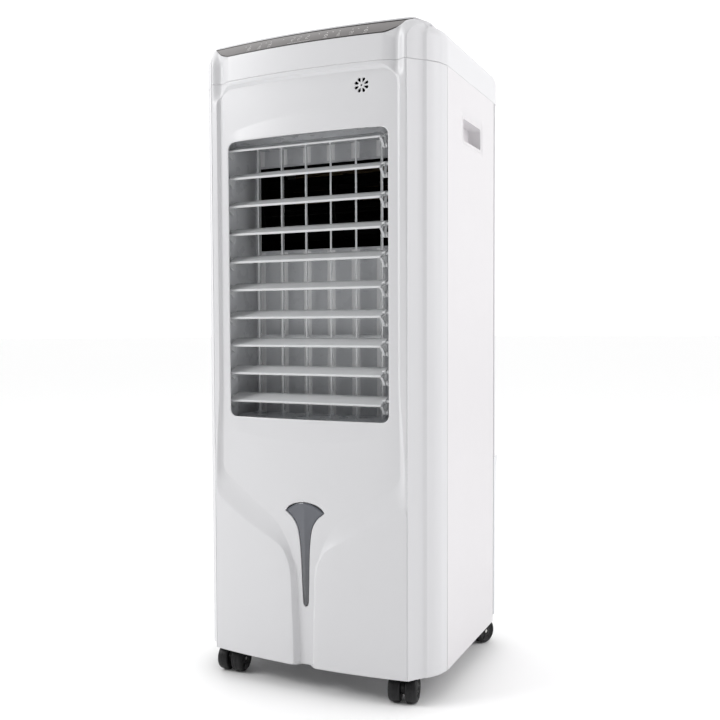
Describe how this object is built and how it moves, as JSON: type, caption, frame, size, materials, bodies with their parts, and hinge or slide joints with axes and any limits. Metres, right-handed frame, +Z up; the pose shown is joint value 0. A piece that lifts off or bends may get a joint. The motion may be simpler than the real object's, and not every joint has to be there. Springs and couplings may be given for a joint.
{
  "type": "evaporative cooler",
  "caption": "Tower evaporative cooler with tilting front louvres, swinging vanes, a cross-flow blower, a wetted rear pad, a pull-out tank and swivel casters.",
  "frame": {"origin": "on the floor, under the middle of the object's box", "axes": "+Z up, the air leaves towards -Y, +X to the right seen from the front"},
  "size_m": [0.3648, 0.3164, 0.8934],
  "materials": {
    "white": "satin moulded ABS",
    "blade": "satin moulded ABS",
    "grey": "fine texture",
    "panel": "gloss touch panel",
    "smoke": "smoked gloss lens",
    "black": "moulded nylon with a soft sheen",
    "dark": "matt black duct plastic",
    "steel": "zinc plated",
    "pad": "corrugated cellulose wick",
    "board": "solder mask",
    "tank": "satin polypropylene",
    "hose": "silicone",
    "net": "woven mesh in a frame"
  },
  "bodies": {
    "cabinet": {"front_shell": "white", "side_panel_left": "white", "side_panel_right": "white", "top_cover": "white", "back_frame": "grey", "base_pan": "grey", "control_panel": "panel", "control_board": "board", "outlet_duct": "grey", "blower_housing": "dark", "blower_motor": "steel", "motor_bracket": "steel", "water_window": "smoke", "water_tray": "grey", "swing_motor": "steel", "pump": "black", "pump_hose": "hose", "cord_gland": "black"},
    "louvre_01": {"louvre_01": "blade"},
    "louvre_02": {"louvre_02": "blade"},
    "louvre_03": {"louvre_03": "blade"},
    "louvre_04": {"louvre_04": "blade"},
    "louvre_05": {"louvre_05": "blade"},
    "louvre_06": {"louvre_06": "blade"},
    "louvre_07": {"louvre_07": "blade"},
    "louvre_08": {"louvre_08": "blade"},
    "louvre_09": {"louvre_09": "blade"},
    "louvre_10": {"louvre_10": "blade"},
    "louvre_link": {"louvre_link": "blade"},
    "vane_1": {"vane_1": "blade"},
    "vane_2": {"vane_2": "blade"},
    "vane_3": {"vane_3": "blade"},
    "vane_4": {"vane_4": "blade"},
    "vane_5": {"vane_5": "blade"},
    "vane_6": {"vane_6": "blade"},
    "vane_7": {"vane_7": "blade"},
    "vane_link": {"vane_link": "blade"},
    "blower_rotor": {"blower_rotor": "dark"},
    "top_lid": {"top_lid": "white"},
    "cassette": {"rear_grille": "white", "dust_net": "net", "cooling_pad": "pad"},
    "tank": {"tank": "tank"},
    "tank_latch_right": {"tank_latch_right": "grey"},
    "tank_latch_left": {"tank_latch_left": "grey"},
    "drain_plug": {"drain_plug": "black"},
    "caster_body_front_right": {"caster_body_front_right": "black"},
    "caster_wheel_front_right_a": {"caster_wheel_front_right_a": "black"},
    "caster_wheel_front_right_b": {"caster_wheel_front_right_b": "black"},
    "caster_body_front_left": {"caster_body_front_left": "black"},
    "caster_wheel_front_left_a": {"caster_wheel_front_left_a": "black"},
    "caster_wheel_front_left_b": {"caster_wheel_front_left_b": "black"},
    "caster_body_rear_right": {"caster_body_rear_right": "black"},
    "caster_wheel_rear_right_a": {"caster_wheel_rear_right_a": "black"},
    "caster_wheel_rear_right_b": {"caster_wheel_rear_right_b": "black"},
    "brake_lever_rear_right": {"brake_lever_rear_right": "black"},
    "caster_body_rear_left": {"caster_body_rear_left": "black"},
    "caster_wheel_rear_left_a": {"caster_wheel_rear_left_a": "black"},
    "caster_wheel_rear_left_b": {"caster_wheel_rear_left_b": "black"},
    "brake_lever_rear_left": {"brake_lever_rear_left": "black"}
  },
  "joints": [
    {"name": "louvre_01_tilt", "type": "hinge", "parent": "cabinet", "child": "louvre_01", "pos_m": [0, -0.12377, 0.7483], "axis": [1, 0, 0], "range_deg": [-45, 12]},
    {"name": "louvre_02_tilt", "type": "hinge", "parent": "cabinet", "child": "louvre_02", "pos_m": [0, -0.12377, 0.7093], "axis": [1, 0, 0], "range_deg": [-45, 12]},
    {"name": "louvre_03_tilt", "type": "hinge", "parent": "cabinet", "child": "louvre_03", "pos_m": [0, -0.12377, 0.6703], "axis": [1, 0, 0], "range_deg": [-45, 12]},
    {"name": "louvre_04_tilt", "type": "hinge", "parent": "cabinet", "child": "louvre_04", "pos_m": [0, -0.12377, 0.6313], "axis": [1, 0, 0], "range_deg": [-45, 12]},
    {"name": "louvre_05_tilt", "type": "hinge", "parent": "cabinet", "child": "louvre_05", "pos_m": [0, -0.12377, 0.5923], "axis": [1, 0, 0], "range_deg": [-45, 12]},
    {"name": "louvre_06_tilt", "type": "hinge", "parent": "cabinet", "child": "louvre_06", "pos_m": [0, -0.12377, 0.5533], "axis": [1, 0, 0], "range_deg": [-45, 12]},
    {"name": "louvre_07_tilt", "type": "hinge", "parent": "cabinet", "child": "louvre_07", "pos_m": [0, -0.12377, 0.5143], "axis": [1, 0, 0], "range_deg": [-45, 12]},
    {"name": "louvre_08_tilt", "type": "hinge", "parent": "cabinet", "child": "louvre_08", "pos_m": [0, -0.12377, 0.4753], "axis": [1, 0, 0], "range_deg": [-45, 12]},
    {"name": "louvre_09_tilt", "type": "hinge", "parent": "cabinet", "child": "louvre_09", "pos_m": [0, -0.12377, 0.4363], "axis": [1, 0, 0], "range_deg": [-45, 12]},
    {"name": "louvre_10_tilt", "type": "hinge", "parent": "cabinet", "child": "louvre_10", "pos_m": [0, -0.12377, 0.3973], "axis": [1, 0, 0], "range_deg": [-45, 12]},
    {"name": "louvre_link_pivot", "type": "hinge", "parent": "louvre_01", "child": "louvre_link", "pos_m": [0, -0.12377, 0.7338], "axis": [1, 0, 0], "range_deg": [-12, 45]},
    {"name": "vane_1_swing", "type": "hinge", "parent": "cabinet", "child": "vane_1", "pos_m": [-0.12, -0.06836, 0.4816], "axis": [0, 0, 1], "range_deg": [-61, 9]},
    {"name": "vane_2_swing", "type": "hinge", "parent": "cabinet", "child": "vane_2", "pos_m": [-0.08, -0.06836, 0.4816], "axis": [0, 0, 1], "range_deg": [-61, 9]},
    {"name": "vane_3_swing", "type": "hinge", "parent": "cabinet", "child": "vane_3", "pos_m": [-0.04, -0.06836, 0.4816], "axis": [0, 0, 1], "range_deg": [-61, 9]},
    {"name": "vane_4_swing", "type": "hinge", "parent": "cabinet", "child": "vane_4", "pos_m": [0, -0.06836, 0.4816], "axis": [0, 0, 1], "range_deg": [-61, 9]},
    {"name": "vane_5_swing", "type": "hinge", "parent": "cabinet", "child": "vane_5", "pos_m": [0.04, -0.06836, 0.4816], "axis": [0, 0, 1], "range_deg": [-61, 9]},
    {"name": "vane_6_swing", "type": "hinge", "parent": "cabinet", "child": "vane_6", "pos_m": [0.08, -0.06836, 0.4816], "axis": [0, 0, 1], "range_deg": [-61, 9]},
    {"name": "vane_7_swing", "type": "hinge", "parent": "cabinet", "child": "vane_7", "pos_m": [0.12, -0.06836, 0.4816], "axis": [0, 0, 1], "range_deg": [-61, 9]},
    {"name": "vane_link_pivot", "type": "hinge", "parent": "vane_1", "child": "vane_link", "pos_m": [-0.13188, -0.04401, 0.4816], "axis": [0, 0, 1], "range_deg": [-9, 61]},
    {"name": "blower_spin", "type": "hinge", "parent": "cabinet", "child": "blower_rotor", "pos_m": [0, 0.03123, 0.68], "axis": [1, 0, 0], "continuous": true},
    {"name": "top_lid_hinge", "type": "hinge", "parent": "cabinet", "child": "top_lid", "pos_m": [0, 0.13223, 0.885], "axis": [-1, 0, 0], "range_deg": [0, 95]},
    {"name": "cassette_slide", "type": "slide", "parent": "cabinet", "child": "cassette", "axis": [0, 1, 0], "range_m": [0, 0.06]},
    {"name": "tank_slide", "type": "slide", "parent": "cabinet", "child": "tank", "axis": [0, 1, 0], "range_m": [0, 0.17]},
    {"name": "tank_latch_right_turn", "type": "hinge", "parent": "tank", "child": "tank_latch_right", "pos_m": [0.15, 0.14424, 0.261], "axis": [0, 1, 0], "range_deg": [0, 90]},
    {"name": "tank_latch_left_turn", "type": "hinge", "parent": "tank", "child": "tank_latch_left", "pos_m": [-0.15, 0.14424, 0.261], "axis": [0, 1, 0], "range_deg": [0, 90]},
    {"name": "drain_plug_pull", "type": "slide", "parent": "tank", "child": "drain_plug", "axis": [0, 1, 0], "range_m": [0, 0.02]},
    {"name": "caster_front_right_swivel", "type": "hinge", "parent": "cabinet", "child": "caster_body_front_right", "pos_m": [0.131, -0.10977, 0.0185], "axis": [0, 0, 1], "continuous": true},
    {"name": "caster_wheel_front_right_a_roll", "type": "hinge", "parent": "caster_body_front_right", "child": "caster_wheel_front_right_a", "pos_m": [0.13453, -0.12639, 0.0185], "axis": [-0.9781, -0.2079, 0], "continuous": true},
    {"name": "caster_wheel_front_right_b_roll", "type": "hinge", "parent": "caster_body_front_right", "child": "caster_wheel_front_right_b", "pos_m": [0.13453, -0.12639, 0.0185], "axis": [-0.9781, -0.2079, 0], "continuous": true},
    {"name": "caster_front_left_swivel", "type": "hinge", "parent": "cabinet", "child": "caster_body_front_left", "pos_m": [-0.131, -0.10977, 0.0185], "axis": [0, 0, 1], "continuous": true},
    {"name": "caster_wheel_front_left_a_roll", "type": "hinge", "parent": "caster_body_front_left", "child": "caster_wheel_front_left_a", "pos_m": [-0.13011, -0.12674, 0.0185], "axis": [-0.9986, -0.0523, 0], "continuous": true},
    {"name": "caster_wheel_front_left_b_roll", "type": "hinge", "parent": "caster_body_front_left", "child": "caster_wheel_front_left_b", "pos_m": [-0.13011, -0.12674, 0.0185], "axis": [-0.9986, -0.0523, 0], "continuous": true},
    {"name": "caster_rear_right_swivel", "type": "hinge", "parent": "cabinet", "child": "caster_body_rear_right", "pos_m": [0.148, 0.11624, 0.0185], "axis": [0, 0, 1], "continuous": true},
    {"name": "caster_wheel_rear_right_a_roll", "type": "hinge", "parent": "caster_body_rear_right", "child": "caster_wheel_rear_right_a", "pos_m": [0.15518, 0.13164, 0.0185], "axis": [0.9063, -0.4226, 0], "continuous": true},
    {"name": "caster_wheel_rear_right_b_roll", "type": "hinge", "parent": "caster_body_rear_right", "child": "caster_wheel_rear_right_b", "pos_m": [0.15518, 0.13164, 0.0185], "axis": [0.9063, -0.4226, 0], "continuous": true},
    {"name": "brake_lever_rear_right_press", "type": "hinge", "parent": "caster_body_rear_right", "child": "brake_lever_rear_right", "pos_m": [0.16119, 0.14451, 0.0343], "axis": [-0.9063, 0.4226, 0], "range_deg": [0, 14]},
    {"name": "caster_rear_left_swivel", "type": "hinge", "parent": "cabinet", "child": "caster_body_rear_left", "pos_m": [-0.148, 0.11624, 0.0185], "axis": [0, 0, 1], "continuous": true},
    {"name": "caster_wheel_rear_left_a_roll", "type": "hinge", "parent": "caster_body_rear_left", "child": "caster_wheel_rear_left_a", "pos_m": [-0.15518, 0.13164, 0.0185], "axis": [0.9063, 0.4226, 0], "continuous": true},
    {"name": "caster_wheel_rear_left_b_roll", "type": "hinge", "parent": "caster_body_rear_left", "child": "caster_wheel_rear_left_b", "pos_m": [-0.15518, 0.13164, 0.0185], "axis": [0.9063, 0.4226, 0], "continuous": true},
    {"name": "brake_lever_rear_left_press", "type": "hinge", "parent": "caster_body_rear_left", "child": "brake_lever_rear_left", "pos_m": [-0.16119, 0.14451, 0.0343], "axis": [-0.9063, -0.4226, 0], "range_deg": [0, 14]}
  ],
  "couplings": [
    {"joint": "louvre_02_tilt", "follows": "louvre_01_tilt", "ratio": 1},
    {"joint": "louvre_03_tilt", "follows": "louvre_01_tilt", "ratio": 1},
    {"joint": "louvre_04_tilt", "follows": "louvre_01_tilt", "ratio": 1},
    {"joint": "louvre_05_tilt", "follows": "louvre_01_tilt", "ratio": 1},
    {"joint": "louvre_06_tilt", "follows": "louvre_01_tilt", "ratio": 1},
    {"joint": "louvre_07_tilt", "follows": "louvre_01_tilt", "ratio": 1},
    {"joint": "louvre_08_tilt", "follows": "louvre_01_tilt", "ratio": 1},
    {"joint": "louvre_09_tilt", "follows": "louvre_01_tilt", "ratio": 1},
    {"joint": "louvre_10_tilt", "follows": "louvre_01_tilt", "ratio": 1},
    {"joint": "louvre_link_pivot", "follows": "louvre_01_tilt", "ratio": -1},
    {"joint": "vane_2_swing", "follows": "vane_1_swing", "ratio": 1},
    {"joint": "vane_3_swing", "follows": "vane_1_swing", "ratio": 1},
    {"joint": "vane_4_swing", "follows": "vane_1_swing", "ratio": 1},
    {"joint": "vane_5_swing", "follows": "vane_1_swing", "ratio": 1},
    {"joint": "vane_6_swing", "follows": "vane_1_swing", "ratio": 1},
    {"joint": "vane_7_swing", "follows": "vane_1_swing", "ratio": 1},
    {"joint": "vane_link_pivot", "follows": "vane_1_swing", "ratio": -1}
  ]
}
